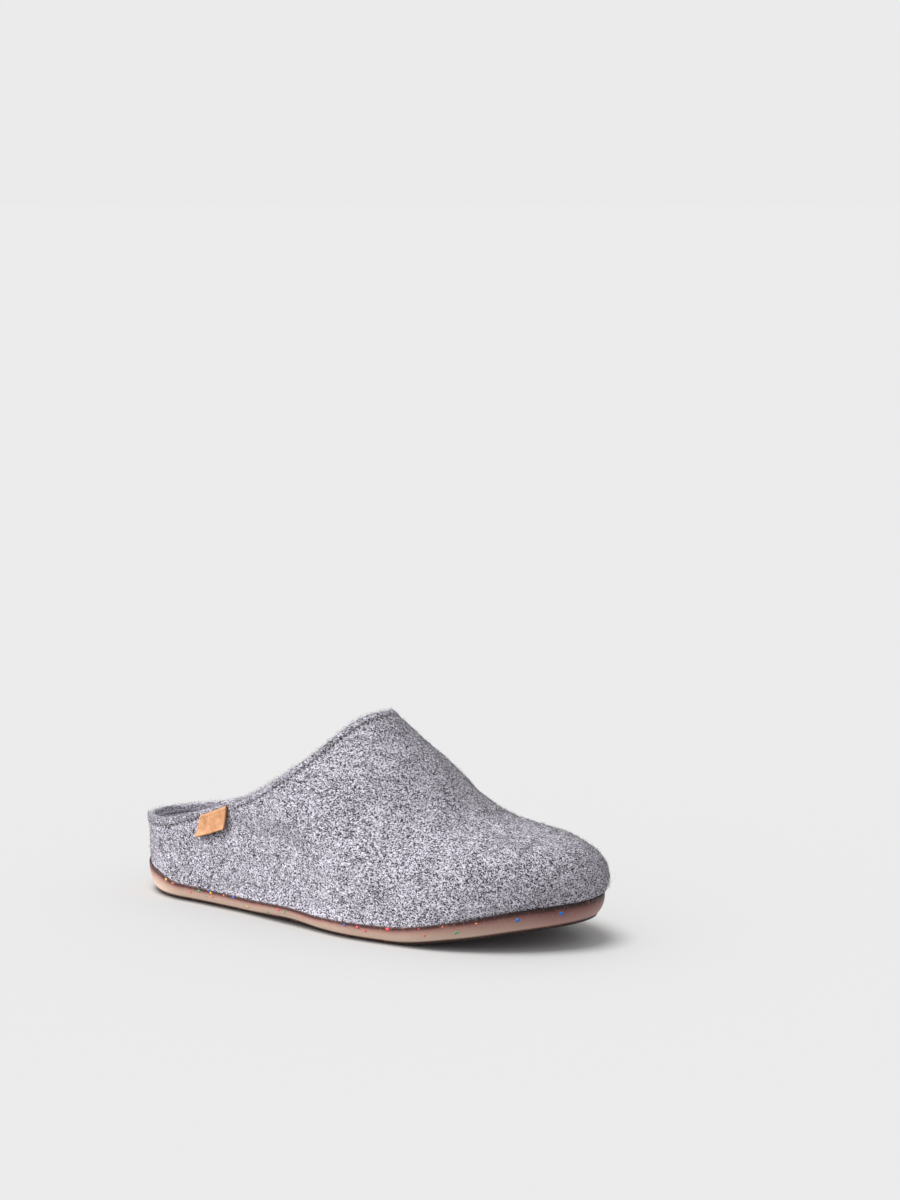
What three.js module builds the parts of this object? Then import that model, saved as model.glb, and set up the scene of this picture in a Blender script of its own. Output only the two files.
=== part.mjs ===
// A felt house slipper for the right foot: a hollow felt upper in a moulded rubber cup sole.
// Millimetres. X runs from the heel to the toe, Y to the inner side of the foot, Z up from the floor.
import * as THREE from "three";

// Overall sizes.
const LENGTH = 261; // rubber sole from its heel to its toe
const BALL_WIDTH = 96.2; // rubber sole across the ball of the foot
const INSTEP_HEIGHT = 104.5; // instep just below the collar's throat, above the floor
const HEEL_HEIGHT = 40; // top of the collar at the heel, above the floor
const HEEL_ROUND = 36; // length over which the heel closes to its nose
const TOE_ROUND = 78; // length over which the toe closes to its nose
const TOE_FULLNESS = 2.15; // 2 makes an elliptic toe, more makes it squarer

// Sole.
const SIDE_HEIGHT = 8.4; // rim of the sole above its tread at the waist
const TOE_SPRING = 12.3; // lift of the tread at the tip of the toe
const ARCH_LIFT = 1.2; // lift of the tread at the waist
const HEEL_BEVEL = 1.2; // lift of the tread at the back of the heel
const TREAD_INSET = 3.6; // tread's edge inside the rim
const TREAD_ROUND = 1.3; // radius of the tread's edge
const LIP = 0.8; // thickness of the rubber lip that wraps the felt
const ROLL_HEIGHT = 2.4; // height of the rolled edge outside that lip

// Felt, and what is sewn to it.
const FELT = 3.5; // wall of the upper
const HEEL_BULGE = 2; // how far the heel of the upper leans back
const GAP = 0.3; // clearance between neighbouring pieces
const BAND = 4.2; // depth of the collar binding
const BAND_LEG = 0.9; // thickness of each of the binding's two legs
const BAND_WEB = 1.2; // thickness of the binding over the felt's edge
const BAND_PROUD = 0.3; // how far the binding stands out of the wall
const BAND_ROUND = 1; // radius of the binding's top corners
const LABEL_PLACE = 49.2; // from the back of the sole to the label
const LABEL_LENGTH = 20; // label along the shoe
const LABEL_DROP = 12.7; // label from its top edge to its bottom edge
const LABEL_BELOW = 1.3; // label's top edge below the collar
const LABEL_SLANT = 2.2; // how far the label's bottom edge lies towards the heel
const LABEL_THICK = 1.4;

// Footbed.
const BED_THICK = 4.5; // footbed in its middle
const BED_EDGE = 9; // footbed at its highest edge, under the arch
const BED_ROUND = 0.8; // radius of its edges
const BED_SLOPE = 6; // width of the slope inside its edge
const BED_DISH = 14; // width of the whole dish inside its edge

// Divisions of the surfaces.
const STATIONS = 36; // from heel to toe on each side
const ROWS = 12; // up the wall of the upper
const NEAR = 1e-3; // step for tangents, as a share
const HALVINGS = 24; // steps of each search

// A smooth curve through one column of a table. It is level where the rows turn, so it never overshoots.
function curve(places, values) {
  const last = places.length - 1;
  const slope = (i) => (values[i + 1] - values[i]) / (places[i + 1] - places[i]);
  const tangents = values.map((_, i) => {
    const before = slope(Math.max(i - 1, 0));
    const after = slope(Math.min(i, last - 1));
    return before * after > 0 ? (2 * before * after) / (before + after) : 0;
  });
  return (place) => {
    const at = THREE.MathUtils.clamp(place, places[0], places[last]);
    const i = Math.max(places.findIndex((next) => next >= at) - 1, 0);
    const width = places[i + 1] - places[i];
    const t = (at - places[i]) / width;
    const fromStart = (1 + 2 * t) * (1 - t) ** 2 * values[i] + t * (1 - t) ** 2 * width * tangents[i];
    const fromEnd = t ** 2 * (3 - 2 * t) * values[i + 1] - t ** 2 * (1 - t) * width * tangents[i + 1];
    return fromStart + fromEnd;
  };
}

// A table of shares: each named column is a curve over the first one.
function table(names, rows) {
  const places = rows.map((row) => row[0]);
  const columns = names.slice(1).map((name, i) => [name, curve(places, rows.map((row) => row[i + 1]))]);
  return Object.fromEntries(columns);
}

// Plan outline of the rim. Centre and half width are shares of the ball's width.
const OUTLINE = table(["along", "centre", "half"], [
  [0.0, 0.0, 0.302],
  [0.13, 0.019, 0.325],
  [0.28, -0.012, 0.338],
  [0.42, -0.044, 0.381],
  [0.55, -0.05, 0.449],
  [0.66, -0.014, 0.491],
  [0.75, 0.011, 0.5],
  [0.86, 0.036, 0.479],
  [1.0, 0.062, 0.421],
]);

// Tread from the side, as shares of the heel's bevel, the arch's lift and the toe's spring.
// It stands on the floor where all three are 0.
const TREAD = table(["along", "heel", "arch", "toe"], [
  [0.0, 1, 0, 0],
  [0.06, 0, 0, 0],
  [0.3, 0, 0, 0],
  [0.42, 0, 1, 0],
  [0.52, 0, 0, 0],
  [0.67, 0, 0, 0],
  [0.8, 0, 0, 0.34],
  [0.92, 0, 0, 0.77],
  [1.0, 0, 0, 1],
]);

// Rim and seat above the tread, as shares of the side's height.
const SIDE = table(["along", "rim", "seat"], [
  [0.0, 1.8, 0.87],
  [0.06, 1.62, 0.85],
  [0.13, 1.1, 0.8],
  [0.27, 0.99, 0.64],
  [0.42, 0.93, 0.48],
  [0.56, 1.0, 0.57],
  [0.67, 1.09, 0.62],
  [0.8, 1.23, 0.83],
  [0.92, 1.4, 1.0],
  [1.0, 1.37, 0.98],
]);

// Upper from the rim to above the throat: its height as a share of the instep's, the rim's outline
// as shares of its own length and width, and the heel's lean as a share of its bulge.
const LEVELS = table(["level", "height", "front", "lean", "width"], [
  [0.0, 0.0, 1.0, 0.0, 1.0],
  [0.05, 0.034, 1.013, 0.1, 0.998],
  [0.11, 0.077, 1.017, 0.25, 0.991],
  [0.22, 0.163, 1.013, 0.4, 0.97],
  [0.33, 0.249, 0.997, 0.95, 0.951],
  [0.44, 0.335, 0.95, 1.0, 0.918],
  [0.56, 0.42, 0.82, 0.9, 0.886],
  [0.67, 0.526, 0.745, 0.8, 0.85],
  [0.78, 0.67, 0.687, 0.8, 0.775],
  [0.89, 0.842, 0.611, 0.8, 0.6],
  [1.0, 1.07, 0.512, 0.8, 0.36],
]);

// Collar from the side: its rise from the heel's height (0) to the instep's (1).
const COLLAR = table(["along", "rise"], [
  [-0.03, -0.02],
  [0.076, 0.012],
  [0.172, 0.112],
  [0.267, 0.243],
  [0.363, 0.427],
  [0.458, 0.705],
  [0.522, 0.975],
  [0.558, 1.045],
]);

// Edge of the footbed on each side, from its middle thickness (0) to its highest edge (1).
const BED = table(["along", "outer", "inner"], [
  [0.0, 0.55, 0.55],
  [0.2, 0.4, 0.5],
  [0.42, 0.3, 1.0],
  [0.6, 0.2, 0.3],
  [0.8, 0.0, 0.0],
  [1.0, 0.0, 0.0],
]);

// Share of the full half width that is left by the round of the heel and of the toe.
function roundedEnds(along) {
  const fromHeel = 1 - Math.min((along * LENGTH) / HEEL_ROUND, 1);
  const fromToe = 1 - Math.min(((1 - along) * LENGTH) / TOE_ROUND, 1);
  return Math.sqrt(1 - fromHeel ** 2) * (1 - fromToe ** TOE_FULLNESS) ** (1 / TOE_FULLNESS);
}

// Where a turn round the outline stands: it starts at the heel's nose and runs along the outer side.
function station(turn) {
  const round = turn - Math.floor(turn);
  const outer = round < 0.5;
  const part = outer ? 2 * round : 2 - 2 * round;
  return { along: (1 - Math.cos(Math.PI * part)) / 2, outer };
}

function rimPoint(turn) {
  const { along, outer } = station(turn);
  const half = OUTLINE.half(along) * BALL_WIDTH * roundedEnds(along);
  const y = OUTLINE.centre(along) * BALL_WIDTH + (outer ? -half : half);
  return new THREE.Vector3(along * LENGTH, y, 0);
}

// The rim's outline moved inwards.
function insetPoint(turn, inset) {
  const tangent = rimPoint(turn + NEAR).sub(rimPoint(turn - NEAR)).normalize();
  const inwards = new THREE.Vector3(-tangent.y, tangent.x, 0);
  return rimPoint(turn).addScaledVector(inwards, inset);
}

function treadHeight(along) {
  return TREAD.heel(along) * HEEL_BEVEL + TREAD.arch(along) * ARCH_LIFT + TREAD.toe(along) * TOE_SPRING;
}

function rimHeight(along) {
  return treadHeight(along) + SIDE.rim(along) * SIDE_HEIGHT;
}

function seatHeight(along) {
  return treadHeight(along) + SIDE.seat(along) * SIDE_HEIGHT;
}

// Outer face of the upper at a turn round the outline and a level between the rim (0) and the top (1).
function upperPoint(turn, level) {
  const { along } = station(turn);
  const foot = insetPoint(turn, LIP + GAP);
  const lean = LEVELS.lean(level) * HEEL_BULGE * (1 - along);
  const height = rimHeight(along) * (1 - level) + LEVELS.height(level) * INSTEP_HEIGHT;
  return new THREE.Vector3(foot.x * LEVELS.front(level) - lean, foot.y * LEVELS.width(level), height);
}

// The same face moved outwards along its normal.
function upperOffset(turn, level, outwards) {
  const round = upperPoint(turn + NEAR, level).sub(upperPoint(turn - NEAR, level));
  const up = upperPoint(turn, level + NEAR).sub(upperPoint(turn, level - NEAR));
  return upperPoint(turn, level).addScaledVector(round.cross(up).normalize(), outwards);
}

function collarHeight(x) {
  return HEEL_HEIGHT + (INSTEP_HEIGHT - HEEL_HEIGHT) * COLLAR.rise(x / LENGTH);
}

// The value between low and high where a rising test turns true.
function search(low, high, passed) {
  for (let i = 0; i < HALVINGS; i += 1) {
    const middle = (low + high) / 2;
    if (passed(middle)) {
      high = middle;
    } else {
      low = middle;
    }
  }
  return low;
}

// Level of the collar's edge at a turn, and millimetres of wall for each level there.
const edges = new Map();
function collarEdge(turn) {
  if (!edges.has(turn)) {
    const level = search(0, 1, (at) => {
      const point = upperPoint(turn, at);
      return point.z > collarHeight(point.x);
    });
    const perLevel = upperPoint(turn, level).distanceTo(upperPoint(turn, level - NEAR)) / NEAR;
    edges.set(turn, { level, perLevel });
  }
  return edges.get(turn);
}

// Level of the upper at a distance below the collar's edge, along the wall.
function levelBelowCollar(turn, below) {
  const { level, perLevel } = collarEdge(turn);
  return level - below / perLevel;
}

// Turns of the stations: heel nose, outer side, toe nose, inner side.
const TURNS = Array.from({ length: 2 * STATIONS }, (_, i) => i / (2 * STATIONS));

// Triangles between rings of points. Each ring runs anticlockwise as seen from above.
function sides(rings, closed) {
  const count = rings[0].length;
  const triangles = [];
  const steps = closed ? rings.length : rings.length - 1;
  for (let j = 0; j < steps; j += 1) {
    const low = j * count;
    const high = ((j + 1) % rings.length) * count;
    for (let i = 0; i < count; i += 1) {
      const next = (i + 1) % count;
      triangles.push(low + i, low + next, high + next);
      triangles.push(low + i, high + next, high + i);
    }
  }
  return triangles;
}

// Triangles that close one ring with rungs between its outer and its inner side.
function ladder(start, facingUp) {
  const count = 2 * STATIONS;
  const triangles = [];
  const add = (a, b, c) => triangles.push(...(facingUp ? [a, b, c] : [a, c, b]).map((i) => start + i));
  add(0, 1, count - 1);
  for (let i = 1; i < STATIONS - 1; i += 1) {
    add(i, i + 1, count - i);
    add(i + 1, count - i - 1, count - i);
  }
  add(STATIONS - 1, STATIONS, STATIONS + 1);
  return triangles;
}

function bodyOf(points, triangles) {
  const geometry = new THREE.BufferGeometry();
  geometry.setFromPoints(points);
  geometry.setIndex(triangles);
  geometry.computeVertexNormals();
  return geometry;
}

// A body that is closed below its first ring and above its last one.
function stack(rings) {
  const last = (rings.length - 1) * 2 * STATIONS;
  return bodyOf(rings.flat(), [...ladder(0, false), ...sides(rings, false), ...ladder(last, true)]);
}

// A body open through its middle: its section runs up its outer face and down its inner face.
function tube(rings) {
  return bodyOf(rings.flat(), sides(rings, true));
}

// A ring of the outline moved inwards, at a height worked out for each station.
function ring(inset, height) {
  return TURNS.map((turn) => {
    const { along, outer } = station(turn);
    return insetPoint(turn, inset).setZ(height(along, outer));
  });
}

// Rubber cup sole: tread, flared side, rolled rim and the recess that the felt stands in.
function outsole() {
  const corner = TREAD_ROUND * (1 - Math.SQRT1_2);
  const aboveTread = (rise) => (along) => treadHeight(along) + rise;
  const belowRim = (drop) => (along) => rimHeight(along) - drop;
  const halfLip = LIP / 2;
  const lipCorner = halfLip * (1 - Math.SQRT1_2);
  return stack([
    ring(TREAD_INSET + TREAD_ROUND, treadHeight),
    ring(TREAD_INSET + corner, aboveTread(corner)),
    ring(TREAD_INSET, aboveTread(TREAD_ROUND)),
    ring(TREAD_INSET / 3, belowRim(ROLL_HEIGHT)),
    ring(0, belowRim(ROLL_HEIGHT * 0.6)),
    ring(0, belowRim(halfLip)),
    ring(lipCorner, belowRim(lipCorner)),
    ring(halfLip, rimHeight),
    ring(LIP - lipCorner, belowRim(lipCorner)),
    ring(LIP, belowRim(halfLip)),
    ring(LIP, seatHeight),
  ]);
}

// Felt shell: it stands in the recess, and its wall steps in where the binding wraps its edge.
function upper() {
  const foot = LIP + GAP;
  const stepIn = BAND_LEG + GAP - BAND_PROUD;
  const wallRow = (row, outwards) => TURNS.map((turn) => {
    const step = levelBelowCollar(turn, BAND + GAP);
    return upperOffset(turn, step * (row / ROWS) ** 1.1, outwards);
  });
  const collarRow = (below, outwards) => TURNS.map((turn) => (
    upperOffset(turn, levelBelowCollar(turn, below), outwards)
  ));
  const seat = (along) => seatHeight(along) + GAP;
  const rows = Array.from({ length: ROWS }, (_, i) => i + 1);
  return tube([
    ring(foot, seat),
    ring(foot, rimHeight),
    ...rows.map((row) => wallRow(row, 0)),
    collarRow(BAND + GAP, -stepIn),
    collarRow(BAND_WEB + GAP, -stepIn),
    collarRow(BAND_WEB + GAP, stepIn - FELT),
    collarRow(BAND + GAP, stepIn - FELT),
    ...rows.toReversed().map((row) => wallRow(row, -FELT)),
    ring(foot + FELT, rimHeight),
    ring(foot + FELT, seat),
  ]);
}

// Binding: a folded strip over the felt's edge, with one leg on each face of the wall.
function collarBinding() {
  const outside = BAND_PROUD;
  const inside = -FELT - BAND_PROUD;
  const corner = BAND_ROUND * (1 - Math.SQRT1_2);
  const section = [
    { below: BAND, outwards: outside },
    { below: BAND_ROUND, outwards: outside },
    { below: corner, outwards: outside - corner },
    { below: 0, outwards: outside - BAND_ROUND },
    { below: 0, outwards: inside + BAND_ROUND },
    { below: corner, outwards: inside + corner },
    { below: BAND_ROUND, outwards: inside },
    { below: BAND, outwards: inside },
    { below: BAND, outwards: inside + BAND_LEG },
    { below: BAND_WEB, outwards: inside + BAND_LEG },
    { below: BAND_WEB, outwards: outside - BAND_LEG },
    { below: BAND, outwards: outside - BAND_LEG },
  ];
  return tube(section.map(({ below, outwards }) => TURNS.map((turn) => (
    upperOffset(turn, levelBelowCollar(turn, below), outwards)
  ))));
}

// Footbed: it lies in the shell with a heel cup, a raised arch and a flat forefoot.
function footbed() {
  const edge = LIP + GAP + FELT + GAP;
  const bottom = (along) => seatHeight(along) + GAP;
  const rise = (along, outer) => (
    BED_THICK + (BED_EDGE - BED_THICK) * (outer ? BED.outer(along) : BED.inner(along))
  );
  return stack([
    ring(edge + BED_ROUND, bottom),
    ring(edge, (along) => bottom(along) + BED_ROUND),
    ring(edge + BED_ROUND / 2, (along, outer) => bottom(along) + rise(along, outer) - BED_ROUND),
    ring(edge + 2 * BED_ROUND, (along, outer) => bottom(along) + rise(along, outer)),
    ring(edge + BED_SLOPE, (along, outer) => bottom(along) + (rise(along, outer) + BED_THICK) / 2),
    ring(edge + BED_DISH, (along) => bottom(along) + BED_THICK),
  ]);
}

// Label: a small leather tab that follows the wall and the binding on the outer side of the heel.
function label() {
  const columns = 6;
  const rows = 4;
  const under = BAND_PROUD + GAP;
  const wide = columns + 1;
  const places = Array.from({ length: wide * (rows + 1) }, (_, i) => {
    const across = (i % wide) / columns;
    const down = Math.floor(i / wide) / rows;
    const x = LABEL_PLACE + LABEL_LENGTH * across - LABEL_SLANT * down;
    const below = LABEL_BELOW + LABEL_DROP * down;
    const turn = search(NEAR, 0.5 - NEAR, (at) => upperPoint(at, levelBelowCollar(at, below)).x > x);
    return { turn, level: levelBelowCollar(turn, below) };
  });
  const face = (outwards) => places.map(({ turn, level }) => upperOffset(turn, level, outwards));
  const back = wide * (rows + 1);
  const triangles = [];
  const quad = (a, b, c, d) => triangles.push(a, b, c, a, c, d);
  for (let row = 0; row < rows; row += 1) {
    for (let column = 0; column < columns; column += 1) {
      const at = row * wide + column;
      quad(at, at + wide, at + wide + 1, at + 1);
      quad(back + at, back + at + 1, back + at + wide + 1, back + at + wide);
    }
  }
  for (let column = 0; column < columns; column += 1) {
    const low = rows * wide + column;
    quad(column, column + 1, back + column + 1, back + column);
    quad(low + 1, low, back + low, back + low + 1);
  }
  for (let row = 0; row < rows; row += 1) {
    const left = row * wide;
    const right = left + columns;
    quad(left + wide, left, back + left, back + left + wide);
    quad(right, right + wide, back + right + wide, back + right);
  }
  return bodyOf([...face(under + LABEL_THICK), ...face(under)], triangles);
}

const PIECES = [
  { name: "outsole", shape: outsole, color: 0x8c6a60, roughness: 0.45 },
  { name: "upper", shape: upper, color: 0x6e7076, roughness: 0.95 },
  { name: "collar_binding", shape: collarBinding, color: 0x5f6167, roughness: 0.95 },
  { name: "footbed", shape: footbed, color: 0x595b60, roughness: 0.97 },
  { name: "label", shape: label, color: 0xb88a5c, roughness: 0.6 },
];

// The origin is on the floor under the middle of the whole slipper.
const slipper = new THREE.Group();
for (const { name, shape, color, roughness } of PIECES) {
  const mesh = new THREE.Mesh(shape(), new THREE.MeshStandardMaterial({ color, roughness, metalness: 0 }));
  mesh.name = name;
  slipper.add(mesh);
}
const middle = new THREE.Box3().setFromObject(slipper).getCenter(new THREE.Vector3());
slipper.position.set(-middle.x, -middle.y, 0);

export default slipper;
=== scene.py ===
import math

import bpy
import numpy as np
from mathutils import Matrix, Vector


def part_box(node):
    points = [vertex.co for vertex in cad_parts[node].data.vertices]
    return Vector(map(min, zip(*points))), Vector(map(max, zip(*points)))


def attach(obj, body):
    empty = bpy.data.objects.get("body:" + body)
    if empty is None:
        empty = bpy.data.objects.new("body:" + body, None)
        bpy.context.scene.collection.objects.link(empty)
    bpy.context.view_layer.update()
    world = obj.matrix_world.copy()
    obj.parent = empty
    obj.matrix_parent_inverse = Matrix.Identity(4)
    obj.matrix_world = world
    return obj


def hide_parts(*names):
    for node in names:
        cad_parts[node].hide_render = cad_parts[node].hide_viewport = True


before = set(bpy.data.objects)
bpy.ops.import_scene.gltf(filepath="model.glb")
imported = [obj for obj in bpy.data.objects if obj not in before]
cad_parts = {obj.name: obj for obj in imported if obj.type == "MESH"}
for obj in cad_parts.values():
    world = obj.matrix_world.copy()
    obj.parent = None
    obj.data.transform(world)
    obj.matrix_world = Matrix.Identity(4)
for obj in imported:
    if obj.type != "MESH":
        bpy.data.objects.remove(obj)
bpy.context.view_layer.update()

# Sizes of the slipper, as in the part's source.
LENGTH = 0.261
BALL_WIDTH = 0.0962
INSTEP_HEIGHT = 0.1045
HEEL_HEIGHT = 0.040
HEEL_ROUND = 0.036
TOE_ROUND = 0.078
TOE_FULLNESS = 2.15
SIDE_HEIGHT = 0.0084
TOE_SPRING = 0.0123
ARCH_LIFT = 0.0012
HEEL_BEVEL = 0.0012
TREAD_INSET = 0.0036
TREAD_ROUND = 0.0013
LIP = 0.0008
FELT = 0.0035
HEEL_BULGE = 0.002
GAP = 0.0003
BAND = 0.0042
BAND_LEG = 0.0009
BAND_WEB = 0.0012
BAND_PROUD = 0.0003
LABEL_PLACE = 0.0492
LABEL_LENGTH = 0.020
LABEL_DROP = 0.0127
LABEL_BELOW = 0.0013
LABEL_SLANT = 0.0022
LABEL_THICK = 0.0014
BED_THICK = 0.0045
BED_EDGE = 0.009
BED_ROUND = 0.0008
BED_DISH = 0.014

# Sizes of the scene's own: the power by which the sole's side rounds in towards the tread, a rounder
# roll of the collar than the solid's, and how much lower the tab's back end hangs.
SIDE_ROUND = 2.5
BAND_ROUND = 0.0019
LABEL_ASKEW = 0.0013
# The felt's edge at the throat's peak is a little lower than the solid's: by how much, how far the
# middle of that stretch lies towards the inner side, and its half width.
PEAK_DROP = 0.0017
PEAK_SIDE = 0.007
PEAK_WIDE = 0.012

# A small step for slopes, and how often a search halves its span.
NEAR = 1e-3
HALVINGS = 24


def curve(places, values):
    """A smooth curve through one column of a table, level where the rows turn."""
    places = np.array(places)
    values = np.array(values)
    slopes = np.diff(values) / np.diff(places)
    before = np.concatenate([slopes[:1], slopes])
    after = np.concatenate([slopes, slopes[-1:]])
    product = before * after
    total = np.where(product > 0, before + after, 1.0)
    tangents = np.where(product > 0, 2 * product / total, 0.0)

    def at(place):
        place = np.clip(place, places[0], places[-1])
        i = np.clip(np.searchsorted(places, place) - 1, 0, len(places) - 2)
        width = places[i + 1] - places[i]
        t = (place - places[i]) / width
        from_start = (1 + 2 * t) * (1 - t) ** 2 * values[i] + t * (1 - t) ** 2 * width * tangents[i]
        from_end = t ** 2 * (3 - 2 * t) * values[i + 1] - t ** 2 * (1 - t) * width * tangents[i + 1]
        return from_start + from_end

    return at


def table(names, rows):
    """Named columns of shares, each one a curve over the first column."""
    columns = list(zip(*rows))
    return {name: curve(columns[0], column) for name, column in zip(names[1:], columns[1:])}


def rising(value, start, reach):
    """0 up to the start, then up to 1 over the reach."""
    return np.clip((value - start) / reach, 0, 1)


def falling(value, end, reach):
    """1 at first, then down to 0 over the reach before the end."""
    return np.clip((end - value) / reach, 0, 1)


OUTLINE = table(["along", "centre", "half"], [
    (0.0, 0.0, 0.302),
    (0.13, 0.019, 0.325),
    (0.28, -0.012, 0.338),
    (0.42, -0.044, 0.381),
    (0.55, -0.05, 0.449),
    (0.66, -0.014, 0.491),
    (0.75, 0.011, 0.5),
    (0.86, 0.036, 0.479),
    (1.0, 0.062, 0.421),
])

TREAD = table(["along", "heel", "arch", "toe"], [
    (0.0, 1, 0, 0),
    (0.06, 0, 0, 0),
    (0.3, 0, 0, 0),
    (0.42, 0, 1, 0),
    (0.52, 0, 0, 0),
    (0.67, 0, 0, 0),
    (0.8, 0, 0, 0.34),
    (0.92, 0, 0, 0.77),
    (1.0, 0, 0, 1),
])

SIDE = table(["along", "rim", "seat"], [
    (0.0, 1.8, 0.87),
    (0.06, 1.62, 0.85),
    (0.13, 1.1, 0.8),
    (0.27, 0.99, 0.64),
    (0.42, 0.93, 0.48),
    (0.56, 1.0, 0.57),
    (0.67, 1.09, 0.62),
    (0.8, 1.23, 0.83),
    (0.92, 1.4, 1.0),
    (1.0, 1.37, 0.98),
])

LEVELS = table(["level", "height", "front", "lean", "width"], [
    (0.0, 0.0, 1.0, 0.0, 1.0),
    (0.05, 0.034, 1.013, 0.1, 0.998),
    (0.11, 0.077, 1.017, 0.25, 0.991),
    (0.22, 0.163, 1.013, 0.4, 0.97),
    (0.33, 0.249, 0.997, 0.95, 0.951),
    (0.44, 0.335, 0.95, 1.0, 0.918),
    (0.56, 0.42, 0.82, 0.9, 0.886),
    (0.67, 0.526, 0.745, 0.8, 0.85),
    (0.78, 0.67, 0.687, 0.8, 0.775),
    (0.89, 0.842, 0.611, 0.8, 0.6),
    (1.0, 1.07, 0.512, 0.8, 0.36),
])

COLLAR = table(["along", "rise"], [
    (-0.03, -0.02),
    (0.076, 0.012),
    (0.172, 0.112),
    (0.267, 0.243),
    (0.363, 0.427),
    (0.458, 0.705),
    (0.522, 0.975),
    (0.558, 1.045),
])

BED = table(["along", "outer", "inner"], [
    (0.0, 0.55, 0.55),
    (0.2, 0.4, 0.5),
    (0.42, 0.3, 1.0),
    (0.6, 0.2, 0.3),
    (0.8, 0.0, 0.0),
    (1.0, 0.0, 0.0),
])


# Surface functions, as in the part's source but for the lower edge at the throat's peak.
def unit(vectors):
    return vectors / np.linalg.norm(vectors, axis=-1, keepdims=True)


def rounded_ends(along):
    from_heel = 1 - np.minimum(along * LENGTH / HEEL_ROUND, 1)
    from_toe = 1 - np.minimum((1 - along) * LENGTH / TOE_ROUND, 1)
    return np.sqrt(1 - from_heel ** 2) * (1 - from_toe ** TOE_FULLNESS) ** (1 / TOE_FULLNESS)


def station(turn):
    """Share along the slipper, and whether it is the outer side, for a turn round the outline."""
    part = np.mod(turn, 1.0)
    outer = part < 0.5
    half_turn = np.where(outer, 2 * part, 2 - 2 * part)
    return (1 - np.cos(np.pi * half_turn)) / 2, outer


def rim_point(turn):
    along, outer = station(turn)
    half = OUTLINE["half"](along) * BALL_WIDTH * rounded_ends(along)
    y = OUTLINE["centre"](along) * BALL_WIDTH + np.where(outer, -half, half)
    return np.stack([along * LENGTH, y, np.zeros_like(y)], axis=-1)


def inset_point(turn, inset):
    """The rim's outline moved inwards."""
    tangent = unit(rim_point(turn + NEAR) - rim_point(turn - NEAR))
    inwards = np.stack([-tangent[..., 1], tangent[..., 0], np.zeros_like(tangent[..., 0])], axis=-1)
    return rim_point(turn) + inwards * np.asarray(inset)[..., None]


def tread_height(along):
    heel = TREAD["heel"](along) * HEEL_BEVEL
    return heel + TREAD["arch"](along) * ARCH_LIFT + TREAD["toe"](along) * TOE_SPRING


def rim_height(along):
    return tread_height(along) + SIDE["rim"](along) * SIDE_HEIGHT


def seat_height(along):
    return tread_height(along) + SIDE["seat"](along) * SIDE_HEIGHT


def upper_point(turn, level):
    """Outer face of the upper between the rim (level 0) and above the throat (1)."""
    along, _ = station(turn)
    foot = inset_point(turn, LIP + GAP)
    lean = LEVELS["lean"](level) * HEEL_BULGE * (1 - along)
    height = rim_height(along) * (1 - level) + LEVELS["height"](level) * INSTEP_HEIGHT
    x = foot[..., 0] * LEVELS["front"](level) - lean
    return np.stack([x, foot[..., 1] * LEVELS["width"](level), height], axis=-1)


def upper_normal(turn, level):
    along_ring = upper_point(turn + NEAR, level) - upper_point(turn - NEAR, level)
    up_wall = upper_point(turn, level + NEAR) - upper_point(turn, level - NEAR)
    return unit(np.cross(along_ring, up_wall))


def find_collar(turn):
    """Level of the collar's edge, and metres of wall for each level there."""
    low = np.zeros_like(turn)
    high = np.ones_like(turn)
    peak = upper_point(np.array(0.5), np.array(0.95))[1] + PEAK_SIDE
    front = (turn > 0.25) * (turn < 0.75)
    for _ in range(HALVINGS):
        middle = (low + high) / 2
        point = upper_point(turn, middle)
        rise = COLLAR["rise"](point[..., 0] / LENGTH)
        drop = PEAK_DROP * np.exp(-((point[..., 1] - peak) / PEAK_WIDE) ** 2) * front
        above = point[..., 2] > HEEL_HEIGHT + (INSTEP_HEIGHT - HEEL_HEIGHT) * rise - drop
        high = np.where(above, middle, high)
        low = np.where(above, low, middle)
    step = upper_point(turn, low) - upper_point(turn, low - NEAR)
    return low, np.linalg.norm(step, axis=-1) / NEAR


COLLAR_TURNS = np.linspace(0, 1, 8001)
COLLAR_LEVELS, COLLAR_PER_LEVEL = find_collar(COLLAR_TURNS)


def collar_edge(turn):
    part = np.mod(turn, 1.0)
    return np.interp(part, COLLAR_TURNS, COLLAR_LEVELS), np.interp(part, COLLAR_TURNS, COLLAR_PER_LEVEL)


def level_below_collar(turn, below):
    level, per_level = collar_edge(turn)
    return level - below / per_level


# The slipper's own zero is at the back of the rubber sole, on its centre line.
SOLE_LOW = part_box("outsole")[0]
FINE_RIM = rim_point(np.linspace(0, 1, 4001))
SHIFT = np.array([SOLE_LOW.x - FINE_RIM[:, 0].min(), SOLE_LOW.y - FINE_RIM[:, 1].min(), 0.0])


# The collar's seam: a stitch every few millimetres, just below the band.
STITCH_PITCH = 0.0026
STITCH_BELOW = BAND + GAP / 2
SEAM_TURNS = COLLAR_TURNS
SEAM_LINE = upper_point(SEAM_TURNS, level_below_collar(SEAM_TURNS, STITCH_BELOW))
SEAM_STEPS = np.linalg.norm(np.diff(SEAM_LINE, axis=0), axis=1)
SEAM_LENGTHS = np.concatenate([[0], np.cumsum(SEAM_STEPS)])


def waves(points, wavelength, seed, count=28):
    """Smooth seeded noise from about -1 to 1: many sines in all directions."""
    rng = np.random.default_rng(seed)
    directions = unit(rng.normal(size=(count, 3)))
    numbers = 2 * np.pi / (wavelength * rng.uniform(0.6, 1.6, count))
    phases = rng.uniform(0, 2 * np.pi, count)
    total = np.zeros(points.shape[:-1])
    for direction, number, phase in zip(directions, numbers, phases):
        total += np.sin(points @ direction * number + phase)
    return total / math.sqrt(count / 2) / 2


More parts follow.
